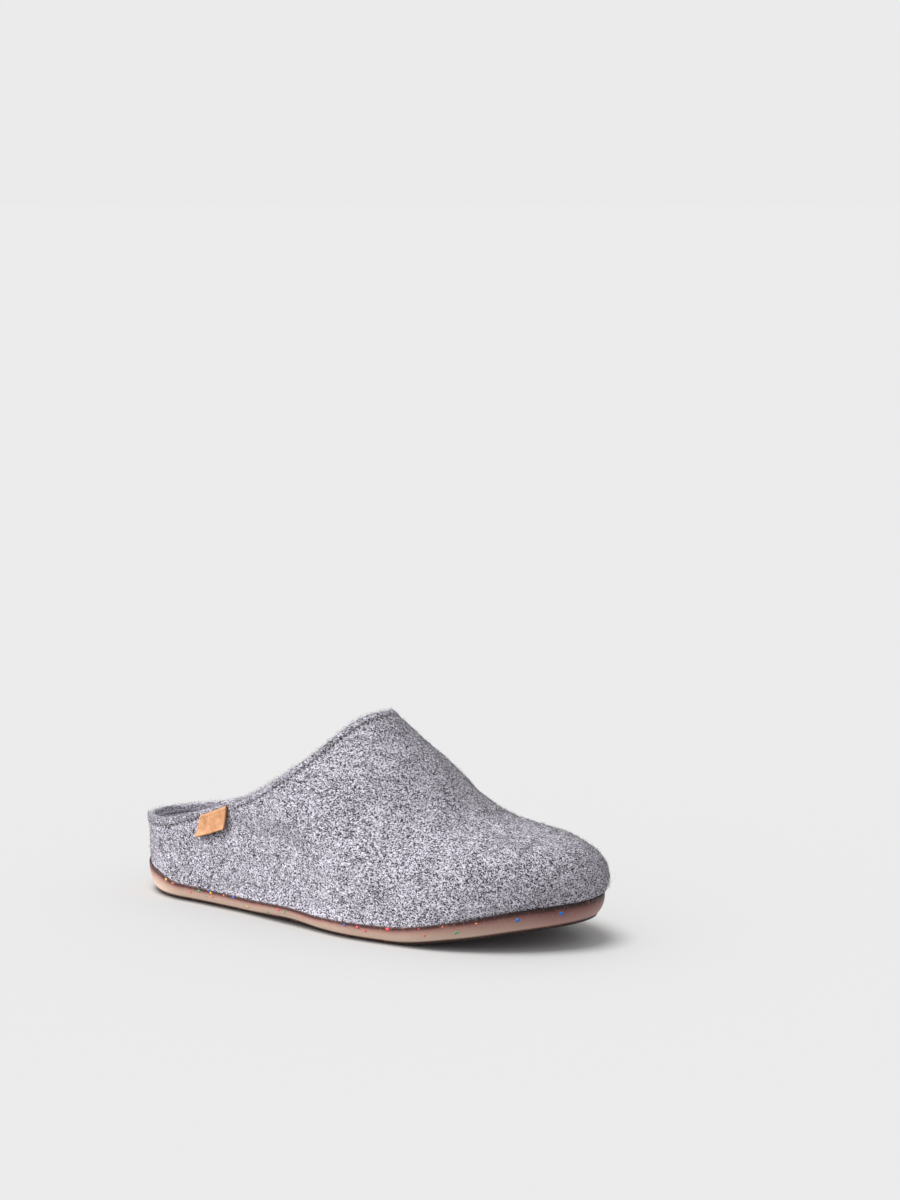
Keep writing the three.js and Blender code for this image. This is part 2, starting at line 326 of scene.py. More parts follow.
# Depth, wavelength and seed of each layer of waves.
FELT_WAVES = ((0.00022, 0.011, 3), (0.0001, 0.0045, 4))
GATHER_WAVES = ((0.00022, 0.010, 5),)
BAND_WAVES = ((0.00013, 0.006, 11), (0.00008, 0.0025, 12))
TAB_WAVES = ((0.00008, 0.006, 41),)


def uneven(points, layers):
    return sum(depth * waves(points, wavelength, seed) for depth, wavelength, seed in layers)


# Creases of the upper: two ends in the slipper's own length, width and instep height, then the
# half width across in metres and the depth, where a ridge is positive.
CREASES = [
    ("behind the toe", (0.74, -0.36, 0.42), (0.77, 0.30, 0.44), 0.009, -0.0007),
    ("over the toes", (0.84, -0.30, 0.36), (0.87, 0.32, 0.38), 0.010, 0.0005),
    ("outer flex", (0.60, -0.46, 0.30), (0.69, -0.34, 0.46), 0.008, -0.0006),
    ("inner flex", (0.60, 0.40, 0.30), (0.69, 0.30, 0.46), 0.008, -0.0006),
    ("outer waist", (0.36, -0.38, 0.22), (0.46, -0.40, 0.40), 0.011, -0.0007),
    ("heel outer", (0.10, -0.30, 0.20), (0.24, -0.33, 0.27), 0.008, -0.0006),
    ("heel inner", (0.08, 0.30, 0.20), (0.22, 0.33, 0.27), 0.009, -0.0006),
    ("heel back", (-0.01, -0.14, 0.25), (-0.01, 0.16, 0.24), 0.007, -0.0005),
    ("throat outer", (0.47, -0.22, 0.70), (0.56, -0.14, 0.76), 0.008, 0.0004),
]
# Reach of the seam's gathers below it, depth and reach of the dimple round a stitch, and depth,
# height above the rim and reach of the tuck over the toe.
GATHER_REACH = 0.010
DIMPLE_DEPTH = 0.00016
DIMPLE_REACH = 0.0011
TUCK_DEPTH = 0.0017
TUCK_HEIGHT = 0.003
TUCK_REACH = 0.0035


def crease_relief(points):
    scale = np.array([LENGTH, BALL_WIDTH, INSTEP_HEIGHT])
    total = np.zeros(points.shape[:-1])
    for _, start, end, width, depth in CREASES:
        first = np.array(start) * scale
        line = np.array(end) * scale - first
        share = np.clip((points - first) @ line / (line @ line), 0, 1)
        distance = np.linalg.norm(points - first - share[..., None] * line, axis=-1)
        total += depth * np.exp(-(distance / width) ** 2) * np.sin(np.pi * (0.15 + 0.7 * share))
    return total


def pucker_relief(points, below):
    """Small uneven gathers that the collar's seam pulls into the felt next to it."""
    return uneven(points, GATHER_WAVES) * np.exp(-(np.maximum(below, 0) / GATHER_REACH) ** 2)


def stitch_dimples(turn, below):
    """Each stitch of the collar's seam draws the felt in around it."""
    length = np.interp(np.mod(turn, 1.0), SEAM_TURNS, SEAM_LENGTHS)
    wave = 0.5 + 0.5 * np.cos(2 * np.pi * length / STITCH_PITCH)
    near_seam = np.exp(-((below - STITCH_BELOW) / DIMPLE_REACH) ** 2)
    return -DIMPLE_DEPTH * (0.45 + 0.55 * wave) * near_seam


def tuck_relief(points, turn):
    """The felt draws in over the toe's rim, where it goes down into the sole."""
    along, _ = station(turn)
    above = points[..., 2] - rim_height(along)
    return -TUCK_DEPTH * rising(along, 0.9, 0.08) * np.exp(-((above - TUCK_HEIGHT) / TUCK_REACH) ** 2)


# Meshes from arrays.
def ring_faces(rows, columns, close_rows):
    """Quads between rings of points, each ring closed on itself."""
    row = np.arange(rows if close_rows else rows - 1)[:, None]
    column = np.arange(columns)[None, :]
    low = row * columns
    high = (row + 1) % rows * columns
    after = (column + 1) % columns
    return np.stack([low + column, low + after, high + after, high + column], axis=-1).reshape(-1, 4)


SLIPPER_PIECES = []


def piece(name, points, faces, material, replaced=None, shift=SHIFT):
    """A mesh object that rides on the slipper's one body."""
    mesh = bpy.data.meshes.new(name)
    mesh.from_pydata((points.reshape(-1, 3) + shift).tolist(), [], faces)
    mesh.polygons.foreach_set("use_smooth", np.ones(len(mesh.polygons), bool))
    mesh.materials.append(material)
    mesh.update()
    obj = bpy.data.objects.new(name, mesh)
    bpy.context.scene.collection.objects.link(obj)
    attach(obj, "root")
    if replaced:
        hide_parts(replaced)
    SLIPPER_PIECES.append(obj)
    return obj


def point_values(obj, name, values):
    attribute = obj.data.attributes.new(name, "FLOAT", "POINT")
    attribute.data.foreach_set("value", np.asarray(values, np.float32).ravel())


def spindles(paths, radius, sides):
    """Closed thin bodies along many short paths, pointed at both ends."""
    count, length, _ = paths.shape
    rings = length - 2
    tangent = unit(paths[:, 2:] - paths[:, :-2])
    helper = np.where(np.abs(tangent[..., 2:]) < 0.8, [[[0.0, 0.0, 1.0]]], [[[1.0, 0.0, 0.0]]])
    across = unit(np.cross(tangent, helper))
    upwards = np.cross(tangent, across)
    angle = 2 * np.pi * np.arange(sides) / sides
    spoke = np.cos(angle)[:, None] * across[:, :, None] + np.sin(angle)[:, None] * upwards[:, :, None]
    width = np.broadcast_to(radius, (count, rings))[..., None, None]
    hoops = (paths[:, 1:-1, None] + spoke * width).reshape(count, rings * sides, 3)
    points = np.concatenate([paths[:, :1], hoops, paths[:, -1:]], axis=1)
    per = rings * sides + 2
    faces = []
    for side in range(sides):
        after = (side + 1) % sides
        faces.append((0, 1 + after, 1 + side))
        for ring in range(rings - 1):
            a = 1 + ring * sides + side
            b = 1 + ring * sides + after
            faces.append((a, b, b + sides))
            faces.append((a, b + sides, a + sides))
        last = 1 + (rings - 1) * sides
        faces.append((last + side, last + after, per - 1))
    all_faces = np.array(faces)[None] + per * np.arange(count)[:, None, None]
    return points, all_faces.reshape(-1, 3), per


# Materials.
def new_material(name):
    material = bpy.data.materials.new(name)
    material.use_nodes = True
    tree = material.node_tree
    return material, tree, tree.nodes["Principled BSDF"]


def set_values(node, values):
    for name, value in values.items():
        node.inputs[name].default_value = value


def attribute(tree, name):
    """A value that the mesh carries at its points."""
    node = tree.nodes.new("ShaderNodeAttribute")
    node.attribute_name = name
    return node.outputs["Fac"]


def add_bump(tree, shader, height, strength, distance):
    bump = tree.nodes.new("ShaderNodeBump")
    set_values(bump, {"Strength": strength, "Distance": distance})
    tree.links.new(height, bump.inputs["Height"])
    tree.links.new(bump.outputs["Normal"], shader.inputs["Normal"])


def noise(tree, source, scale, detail=2.0, roughness=0.5, distortion=0.0):
    node = tree.nodes.new("ShaderNodeTexNoise")
    set_values(node, {"Scale": scale, "Detail": detail, "Roughness": roughness, "Distortion": distortion})
    tree.links.new(source, node.inputs["Vector"])
    return node.outputs["Fac"]


def ramp(tree, source, stops):
    node = tree.nodes.new("ShaderNodeValToRGB")
    elements = node.color_ramp.elements
    while len(elements) < len(stops):
        elements.new(0.5)
    for element, (place, color) in zip(elements, stops):
        element.position = place
        element.color = (*color, 1.0)
    tree.links.new(source, node.inputs["Fac"])
    return node.outputs["Color"]


def math_node(tree, operation, first, second):
    node = tree.nodes.new("ShaderNodeMath")
    node.operation = operation
    for socket, value in zip(node.inputs, (first, second)):
        if isinstance(value, (int, float)):
            socket.default_value = value
        else:
            tree.links.new(value, socket)
    return node.outputs[0]


def mix_color(tree, factor, first, second, blend="MIX"):
    node = tree.nodes.new("ShaderNodeMix")
    node.data_type = "RGBA"
    node.blend_type = blend
    for name, kind, value in (("Factor", "VALUE", factor), ("A", "RGBA", first), ("B", "RGBA", second)):
        socket = [s for s in node.inputs if s.name == name and s.type == kind][0]
        if isinstance(value, (int, float)):
            socket.default_value = value
        elif isinstance(value, tuple):
            socket.default_value = (*value, 1.0)
        else:
            tree.links.new(value, socket)
    return [s for s in node.outputs if s.type == "RGBA"][0]


def scaled(tree, source, gain, middle):
    """The source less its middle, times a gain."""
    node = tree.nodes.new("ShaderNodeMath")
    node.operation = "MULTIPLY_ADD"
    tree.links.new(source, node.inputs[0])
    node.inputs[1].default_value = gain
    node.inputs[2].default_value = -gain * middle
    return node.outputs[0]


# Layers of the felt's light and dark: tufts, crossed streaks of fibres in three directions, patches
# and a wide mottle. Each has a gain and a middle, by which they are added up.
TUFTS = {"scale": 1250, "detail": 2, "roughness": 0.6, "distortion": 0.7}
STREAKS = {"scale": 2100, "detail": 1, "roughness": 0.5, "distortion": 0.3}
PATCHES = {"scale": 300, "detail": 2, "roughness": 0.6, "distortion": 0.5}
MOTTLE = {"scale": 75, "detail": 2, "roughness": 0.5}
TUFT_MIX = (5.0, 0.5)
STREAK_MIX = (4.0, 0.39)
PATCH_MIX = (0.7, 0.5)
MOTTLE_MIX = (0.5, 0.5)
FIBRE_DIRECTIONS = ((0.6, 0.3), (-0.8, 1.1), (1.9, -0.4))
FIBRE_STRETCH = (0.3, 1.0, 1.0)
# Along the slipper the mix of light and dark grows towards the toe, and towards the toe the felt
# darkens a little as painted shade.
CONTRAST_MIX = (2.4, -0.45)
TOE_SHADE_MIX = (-0.9, 0.06)
# Colour of the painted shade along the collar's seam, under the band.
SEAM_PAINTED_SHADE = (0.012, 0.012, 0.016)


def felt_material(name, shades, tone=1.0):
    """Heathered felt: light and dark tufts of fibres, mottled, with a dry fuzzy surface."""
    material, tree, shader = new_material(name)
    place = tree.nodes.new("ShaderNodeTexCoord").outputs["Object"]
    tufts = noise(tree, place, **TUFTS)
    streaks = None
    for turn, tilt in FIBRE_DIRECTIONS:
        mapping = tree.nodes.new("ShaderNodeMapping")
        mapping.inputs["Rotation"].default_value = (turn, tilt, turn - tilt)
        mapping.inputs["Scale"].default_value = FIBRE_STRETCH
        tree.links.new(place, mapping.inputs["Vector"])
        lines = noise(tree, mapping.outputs["Vector"], **STREAKS)
        streaks = lines if streaks is None else math_node(tree, "MINIMUM", streaks, lines)
    patches = noise(tree, place, **PATCHES)
    mottle = noise(tree, place, **MOTTLE)
    value = scaled(tree, tufts, *TUFT_MIX)
    for layer, mix in ((streaks, STREAK_MIX), (patches, PATCH_MIX), (mottle, MOTTLE_MIX)):
        value = math_node(tree, "ADD", value, scaled(tree, layer, *mix))
    axes = tree.nodes.new("ShaderNodeSeparateXYZ")
    tree.links.new(place, axes.inputs[0])
    contrast = scaled(tree, axes.outputs["X"], *CONTRAST_MIX)
    # Painted shade: the felt's tone drops a little towards the toe.
    toe_shade = math_node(tree, "MINIMUM", scaled(tree, axes.outputs["X"], *TOE_SHADE_MIX), 0.0)
    value = math_node(tree, "MULTIPLY", value, contrast)
    value = math_node(tree, "ADD", value, toe_shade)
    value = math_node(tree, "ADD", value, 0.5)
    stops = [(place_of, tuple(tone * c for c in color)) for place_of, color in shades]
    color = ramp(tree, value, stops)
    # Painted shade along the collar's seam.
    color = mix_color(tree, attribute(tree, "seam"), color, SEAM_PAINTED_SHADE)
    tree.links.new(color, shader.inputs["Base Color"])
    set_values(shader, {"Roughness": 0.95, "Specular IOR Level": 0.12})
    set_values(shader, {"Sheen Weight": 0.08, "Sheen Roughness": 0.6})
    height = math_node(tree, "ADD", tufts, streaks)
    add_bump(tree, shader, height, strength=0.6, distance=0.0006)
    return material


def nap_material(name, dark, light):
    """Loose fibres: each has its own shade between dark and light."""
    material, tree, shader = new_material(name)
    middle = tuple((a + b) / 2 for a, b in zip(dark, light))
    color = ramp(tree, attribute(tree, "shade"), [(0.0, dark), (0.5, middle), (1.0, light)])
    tree.links.new(color, shader.inputs["Base Color"])
    set_values(shader, {"Roughness": 0.8, "Specular IOR Level": 0.2})
    return material


# Colours of the rubber's side, from the rim's edge (0) down to the tread (1). The darkest stops at the
# rim are partly the rubber's own deep red-brown and partly painted shade under the felt's edge. The
# dark stops from 0.95 to 0.98 are painted shade on the tread's rounded edge, whose first rows have
# TREAD_SHADE_PLACE. Up to LAST_LIGHT the colours drift a little.
RUBBER_SHADES = [
    (0.0, (0.028, 0.007, 0.007)),
    (0.12, (0.066, 0.022, 0.020)),
    (0.22, (0.235, 0.115, 0.098)),
    (0.40, (0.400, 0.255, 0.203)),
    (0.64, (0.550, 0.400, 0.318)),
    (0.88, (0.730, 0.560, 0.450)),
    (0.95, (0.300, 0.185, 0.142)),
    (0.98, (0.030, 0.017, 0.014)),
    (1.0, (0.095, 0.052, 0.043)),
]
LAST_LIGHT = 0.88
TREAD_SHADE_PLACE = 0.98
# Multiplier at the toe: partly the rubber's own tint, partly painted shade.
RUBBER_TOE_TINT_AND_SHADE = (0.52, 0.40, 0.44)
# Speckles: noise, the span of it that shows, strength and colour.
GRAINS = ({"scale": 700, "detail": 1, "roughness": 0.5}, (0.6, 0.72), 0.12, (0.60, 0.34, 0.25))
TINTS = ({"scale": 230, "detail": 2, "roughness": 0.6}, (0.60, 0.70), 0.16, (0.62, 0.22, 0.15))


def rubber_material():
    """Translucent brown rubber, darker at the rim partly as painted shade, with painted shade on the
    tread's rounded edge and fine speckles of its own.
    """
    material, tree, shader = new_material("sole_rubber")
    place = tree.nodes.new("ShaderNodeTexCoord").outputs["Object"]
    side = attribute(tree, "side")
    cloud = noise(tree, place, 60, detail=4, roughness=0.65)
    value = math_node(tree, "ADD", side, scaled(tree, cloud, 0.25, 0.5))
    value = math_node(tree, "MINIMUM", value, LAST_LIGHT)
    value = math_node(tree, "MAXIMUM", value, side)
    color = ramp(tree, value, RUBBER_SHADES)
    # Towards the toe the colour darkens: partly the rubber's own tint, partly painted shade.
    color = mix_color(tree, attribute(tree, "toe"), color, RUBBER_TOE_TINT_AND_SHADE, "MULTIPLY")
    for grain, (start, end), strength, tint in (GRAINS, TINTS):
        spots = noise(tree, place, **grain)
        spots = ramp(tree, spots, [(start, (0, 0, 0)), (end, (1, 1, 1))])
        color = mix_color(tree, math_node(tree, "MULTIPLY", spots, strength), color, tint)
    tree.links.new(color, shader.inputs["Base Color"])
    set_values(shader, {"Roughness": 0.46, "Specular IOR Level": 0.28})
    set_values(shader, {"Subsurface Weight": 0.25, "Subsurface Radius": (1.0, 0.45, 0.35)})
    set_values(shader, {"Subsurface Scale": 0.0015, "Coat Weight": 0.04, "Coat Roughness": 0.35})
    height = noise(tree, place, 900, detail=2)
    add_bump(tree, shader, height, strength=0.12, distance=0.0003)
    return material


def crumb_material(name, color):
    material, tree, shader = new_material(name)
    place = tree.nodes.new("ShaderNodeTexCoord").outputs["Object"]
    tone = noise(tree, place, 900, detail=1)
    darker = tuple(0.7 * c for c in color)
    tree.links.new(ramp(tree, tone, [(0.35, darker), (0.6, color)]), shader.inputs["Base Color"])
    shader.inputs["Roughness"].default_value = 0.45
    return material


LEATHER_SHADES = [
    (0.3, (0.33, 0.150, 0.065)),
    (0.5, (0.44, 0.212, 0.100)),
    (0.72, (0.54, 0.29, 0.15)),
]
LEATHER_EDGE_AND_UNDER_SHADE = (0.28, 0.12, 0.045)


def leather_material():
    """Tan leather with a fine pebbled grain, darker cut edges, and a back darkened as painted shade."""
    material, tree, shader = new_material("tab_leather")
    place = tree.nodes.new("ShaderNodeTexCoord").outputs["Object"]
    cells = tree.nodes.new("ShaderNodeTexVoronoi")
    cells.inputs["Scale"].default_value = 1500
    tree.links.new(place, cells.inputs["Vector"])
    tone = noise(tree, place, 260, detail=3, roughness=0.6)
    color = ramp(tree, tone, LEATHER_SHADES)
    color = mix_color(tree, attribute(tree, "edge"), color, LEATHER_EDGE_AND_UNDER_SHADE)
    tree.links.new(color, shader.inputs["Base Color"])
    set_values(shader, {"Roughness": 0.55, "Specular IOR Level": 0.35})
    height = math_node(tree, "ADD", cells.outputs["Distance"], tone)
    add_bump(tree, shader, height, strength=0.5, distance=0.00015)
    return material


def thread_material(name, color):
    material, tree, shader = new_material(name)
    place = tree.nodes.new("ShaderNodeTexCoord").outputs["Object"]
    twist = noise(tree, place, 2600, detail=1)
    darker = tuple(0.6 * c for c in color)
    tree.links.new(ramp(tree, twist, [(0.35, darker), (0.65, color)]), shader.inputs["Base Color"])
    shader.inputs["Roughness"].default_value = 0.75
    return material


FELT_SHADES = [
    (0.0, (0.014, 0.014, 0.020)),
    (0.22, (0.090, 0.085, 0.103)),
    (0.45, (0.238, 0.224, 0.262)),
    (0.70, (0.390, 0.368, 0.424)),
    (1.0, (0.59, 0.56, 0.63)),
]
# The lining is the same felt in lighter tones than the outside: painted light inside the heel opening.
LINING_SHADES_PAINTED_LIGHT = [
    (0.0, (0.170, 0.161, 0.187)),
    (0.22, (0.350, 0.332, 0.382)),
    (0.45, (0.500, 0.475, 0.545)),
    (0.70, (0.600, 0.570, 0.648)),
    (1.0, (0.68, 0.65, 0.72)),
]
FELT_OUTSIDE = felt_material("felt_heather", FELT_SHADES)
FELT_BAND = felt_material("felt_band", FELT_SHADES, 0.9)
# Lining felt with painted light.
FELT_INSIDE_PAINTED_LIGHT = felt_material("felt_lining_painted_light", LINING_SHADES_PAINTED_LIGHT)
FELT_BED = felt_material("felt_bed", FELT_SHADES, 0.8)
NAP = nap_material("loose_fibres", (0.020, 0.020, 0.027), (0.60, 0.58, 0.63))
RUBBER = rubber_material()
LEATHER = leather_material()
FELT_THREAD = thread_material("grey_thread", (0.64, 0.62, 0.67))
TAB_THREAD = thread_material("tan_thread", (0.55, 0.29, 0.12))


# The camera keeps the photograph's angle: a point of the slipper stands at a chosen pixel, unrolled.
FRAME_WIDTH = 900
FRAME_HEIGHT = 1200
CAMERA_AZIMUTH = 34.2
CAMERA_ELEVATION = 12.2
CAMERA_DISTANCE = 1.5
FOCAL_PIXELS = 2990
AIM_POINT = (0.1305, 0.0, 0.045)
AIM_PIXEL = (365.0, 825.3)
SENSOR_WIDTH = 36.0


def place_camera():
    azimuth = math.radians(CAMERA_AZIMUTH)
    elevation = math.radians(CAMERA_ELEVATION)
    level = math.cos(elevation)
    back = Vector((math.sin(azimuth) * level, -math.cos(azimuth) * level, math.sin(elevation)))
    aim = Vector(AIM_POINT) + Vector(SHIFT)
    right = AIM_PIXEL[0] - FRAME_WIDTH / 2
    above = FRAME_HEIGHT / 2 - AIM_PIXEL[1]
    sight = Vector((right, above, FOCAL_PIXELS)).normalized()
    tilt = math.acos(-back.z / math.hypot(sight.y, sight.z)) - math.atan2(sight.z, sight.y)
    forward = sight.z * math.cos(tilt) + sight.y * math.sin(tilt)
    heading = math.atan2(-back.y, -back.x) - math.atan2(forward, sight.x)
    data = bpy.data.cameras.new("photo_camera")
    data.sensor_width = SENSOR_WIDTH
    data.lens = SENSOR_WIDTH * FOCAL_PIXELS / FRAME_HEIGHT
    data.clip_start = 0.05
    camera = bpy.data.objects.new("photo_camera", data)
    bpy.context.scene.collection.objects.link(camera)
    spin = Matrix.Rotation(heading, 4, "Z") @ Matrix.Rotation(math.pi / 2 - tilt, 4, "X")
    camera.matrix_world = Matrix.Translation(aim + back * CAMERA_DISTANCE) @ spin
    bpy.context.scene.camera = camera


# Stage: a wide flat pale floor under an even sky and a light from above looks as pale as the sky
# behind it. The soft key light shines on the slipper alone, as in a cut-out studio shot, so the floor
# keeps only a soft shade close round the sole.
FLOOR_RADII = (0.05, 0.3, 1.0, 4.0, 16.0, 60.0)
BACKGROUND = 0.83
# Name, strength, azimuth, elevation and softness of each light, angles in degrees.
KEY_LIGHT = ("soft_key", 5.2, -48, 36, 40)
FLOOR_LIGHT = ("floor_light", 2.6, -20, 78, 30)
# The lit floor looks as pale as the background. A light that is spread over a disc gives about this
# share of its strength.
DISC_SHARE = 0.985
FLOOR_SHINE = DISC_SHARE * FLOOR_LIGHT[1] * math.sin(math.radians(FLOOR_LIGHT[3])) / math.pi
FLOOR_TONE = BACKGROUND / (BACKGROUND + FLOOR_SHINE)
# The floor lies a hair under the tread, so that the two never share a plane.
FLOOR_DROP = 0.0002


def floor_material():
    material, _, shader = new_material("pale_floor")
    tone = (FLOOR_TONE, FLOOR_TONE, FLOOR_TONE, 1.0)
    set_values(shader, {"Base Color": tone, "Roughness": 1.0, "Specular IOR Level": 0.0})
    return material


def build_stage():
    columns = 96
    angle = 2 * np.pi * np.arange(columns) / columns
    circle = np.stack([np.cos(angle), np.sin(angle), np.zeros(columns)], axis=-1)
    points = np.array(FLOOR_RADII)[:, None, None] * circle - np.array([0.0, 0.0, FLOOR_DROP])
    faces = ring_faces(len(FLOOR_RADII), columns, False)[:, ::-1].tolist()
    faces.append(list(range(columns)))
    mesh = bpy.data.meshes.new("floor")
    mesh.from_pydata(points.reshape(-1, 3).tolist(), [], faces)
    mesh.materials.append(floor_material())
    floor = bpy.data.objects.new("floor", mesh)
    bpy.context.scene.collection.objects.link(floor)
    return floor


def build_sky():
    world = bpy.data.worlds.new("studio")
    world.use_nodes = True
    sky = world.node_tree.nodes["Background"]
    sky.inputs["Color"].default_value = (1.0, 1.0, 1.0, 1.0)
    sky.inputs["Strength"].default_value = BACKGROUND
    bpy.context.scene.world = world
    bpy.context.scene.view_settings.view_transform = "Standard"


def build_light(settings, lit):
    """A soft sun that shines on the given objects alone."""
    name, strength, azimuth, elevation, softness = settings
    data = bpy.data.lights.new(name, "SUN")
    data.energy = strength
    data.angle = math.radians(softness)
    light = bpy.data.objects.new(name, data)
    azimuth = math.radians(azimuth)
    elevation = math.radians(elevation)
    level = math.cos(elevation)
    away = Vector((math.sin(azimuth) * level, -math.cos(azimuth) * level, math.sin(elevation)))
    light.rotation_euler = away.to_track_quat("Z", "Y").to_euler()
    bpy.context.scene.collection.objects.link(light)
    receivers = bpy.data.collections.new(name + "_receivers")
    for obj in lit:
        receivers.objects.link(obj)
    light.light_linking.receiver_collection = receivers


# Felt upper.
UPPER_COLUMNS = 720
UPPER_ROWS = 58
LINING_ROWS = 26


def wall_face(turn, level, outwards, relief):
    """Points of the wall moved along its normal, with the felt's relief where it is 1."""
    base = upper_point(turn, level)
    edge, per_level = collar_edge(turn)
    below = (edge - level) * per_level - BAND
    lift = uneven(base, FELT_WAVES) + crease_relief(base) + pucker_relief(base, below)
    lift += np.sign(outwards + FELT / 2) * stitch_dimples(turn, below + BAND)
    lift += tuck_relief(base, turn)
    fade = rising(level, 0.02, 0.06) * relief
    return base + upper_normal(turn, level) * (outwards + lift * fade)[..., None]


# Rows of the wall just under the collar band, measured down from it.
SEAM_ROWS = (0.0024, 0.0018, 0.0013, 0.0009, 0.0006, 0.0003, 0.0)


def seam_shade(turn, below):
    """Painted shade along the collar's seam under the band, deeper where the thread goes in between two
    stitches.
    """
    length = np.interp(np.mod(turn, 1.0), SEAM_TURNS, SEAM_LENGTHS)
    hole = np.clip(0.5 + 0.9 * np.cos(2 * np.pi * length / STITCH_PITCH), 0, 1)
    return (0.45 + 0.40 * hole) * np.exp(-(below / (0.00045 + 0.00035 * hole)) ** 2)


def build_upper():
    turn = np.arange(UPPER_COLUMNS) / UPPER_COLUMNS
    along, _ = station(turn)
    foot = LIP + GAP
    step_in = BAND_LEG + GAP - BAND_PROUD
    step = level_below_collar(turn, BAND + GAP)

    def standing(inset, height):
        ring = inset_point(turn, inset)
        ring[:, 2] = height
        return ring

    rows = [standing(foot, seat_height(along) + GAP), standing(foot, rim_height(along) - 0.5 * LIP)]
    low = level_below_collar(turn, BAND + GAP + SEAM_ROWS[0])
    seam = [np.zeros(UPPER_COLUMNS)] * len(rows)
    for share in np.linspace(0, 1, UPPER_ROWS + 1)[1:-1] ** 1.15:
        rows.append(wall_face(turn, low * share, 0.0, 1.0))
        seam.append(np.zeros(UPPER_COLUMNS))
    for below in SEAM_ROWS:
        rows.append(wall_face(turn, level_below_collar(turn, BAND + GAP + below), 0.0, 1.0))
        seam.append(seam_shade(turn, below))
    top = level_below_collar(turn, BAND_WEB + GAP)
    rows.append(wall_face(turn, step, -step_in, 1.0))
    rows.append(wall_face(turn, top, -step_in, 1.0))
    rows.append(wall_face(turn, top, step_in - FELT, 1.0))
    rows.append(wall_face(turn, step, step_in - FELT, 1.0))
    for share in np.linspace(1, 0, LINING_ROWS + 1)[:-1] ** 1.15:
        rows.append(wall_face(turn, step * share, -FELT, 0.6))
    rows.append(standing(foot + FELT, rim_height(along)))
    rows.append(standing(foot + FELT, seat_height(along) + GAP))
    grid = np.stack(rows)
    faces = ring_faces(len(rows), UPPER_COLUMNS, True)
    obj = piece("felt_upper", grid, faces.tolist(), FELT_OUTSIDE, "upper")
    # The inner face takes the lining felt with its painted light.
    obj.data.materials.append(FELT_INSIDE_PAINTED_LIGHT)
    first_inside = len(seam) + 3
    inside = np.repeat(np.arange(len(rows)) >= first_inside, UPPER_COLUMNS).astype(np.int32)
    obj.data.polygons.foreach_set("material_index", inside)
    # The step under the band and the lining just below it take the seam's painted shade.
    seam += [np.ones(UPPER_COLUMNS)] * 4
    seam += [seam_shade(turn, GAP)] + [np.zeros(UPPER_COLUMNS)] * (len(rows) - len(seam) - 1)
    point_values(obj, "seam", np.stack(seam))


# Collar band.
BAND_COLUMNS = 720
BAND_BULGE = 0.00012


def build_band():
    turn = np.arange(BAND_COLUMNS) / BAND_COLUMNS
    outside = BAND_PROUD
    inside = -FELT - BAND_PROUD
    quarter = np.linspace(0, np.pi / 2, 5)
    side = [(1.0, -BAND_PROUD), (0.95, 0.0), (0.75, BAND_BULGE), (0.5, BAND_BULGE)]
    section = [(BAND * share, outside + lift) for share, lift in side]
    section += [(BAND_ROUND * (1 - math.sin(q)), outside - BAND_ROUND * (1 - math.cos(q))) for q in quarter]
    section += [(BAND_ROUND * (1 - math.cos(q)), inside + BAND_ROUND * (1 - math.sin(q))) for q in quarter]
    section += [(BAND * share, inside - lift) for share, lift in side[::-1]]
    section += [(BAND, inside + BAND_LEG), (BAND_WEB, inside + BAND_LEG)]
    section += [(BAND_WEB, outside - BAND_LEG), (BAND, outside - BAND_LEG)]
    rows = []
    for below, outwards in section:
        level = level_below_collar(turn, below)
        base = upper_point(turn, level)
        pinch = stitch_dimples(turn, below) * np.sign(outwards + FELT / 2)
        lift = uneven(base, BAND_WAVES) + crease_relief(base) + pucker_relief(base, 0.0) + pinch
        rows.append(base + upper_normal(turn, level) * (outwards + lift)[..., None])
    grid = np.stack(rows)
    faces = ring_faces(len(rows), BAND_COLUMNS, True)
    obj = piece("felt_collar_band", grid, faces.tolist(), FELT_BAND, "collar_binding")
    # The band's inner faces take the lining felt with its painted light.
    obj.data.materials.append(FELT_INSIDE_PAINTED_LIGHT)
    turned_in = len(side) + 2 * len(quarter)
    inside = (np.arange(len(rows)) >= turned_in) & (np.arange(len(rows)) < len(rows) - 3)
    slots = np.repeat(inside, BAND_COLUMNS).astype(np.int32)
    obj.data.polygons.foreach_set("material_index", slots)


# Stitches round the collar, in the seam on both faces of the wall.
STITCH_LENGTH = 0.0016
STITCH_RADIUS = 0.00031
STITCH_SUNK = 0.00012
STITCH_SLANT = 0.0004


def build_stitches():
    count = int(SEAM_LENGTHS[-1] / STITCH_PITCH)
    places = (np.arange(count) + 0.5) * STITCH_PITCH
    steps = np.linspace(-0.5, 0.5, 6)
    at = np.interp(places[:, None] + steps * STITCH_LENGTH, SEAM_LENGTHS, SEAM_TURNS)
    arch = (np.sin(np.pi * (steps + 0.5)) - 1.0) * STITCH_RADIUS * 1.5
    paths = []
    for outwards, side in ((-STITCH_SUNK, 1), (-FELT + STITCH_SUNK, -1)):
        level = level_below_collar(at, STITCH_BELOW + STITCH_RADIUS + STITCH_SLANT * steps)
        base = upper_point(at, level)
        lift = crease_relief(base) + pucker_relief(base, 0.0)
        paths.append(base + upper_normal(at, level) * (outwards + side * arch + lift)[..., None])
    points, faces, _ = spindles(np.concatenate(paths), STITCH_RADIUS, 6)
    piece("collar_stitches", points, faces.tolist(), FELT_THREAD)


# Rubber sole.
SOLE_COLUMNS = 480
TREAD_ACROSS = 56
GROOVE_DEPTH = 0.0006
GROOVE_PITCH = 0.0062


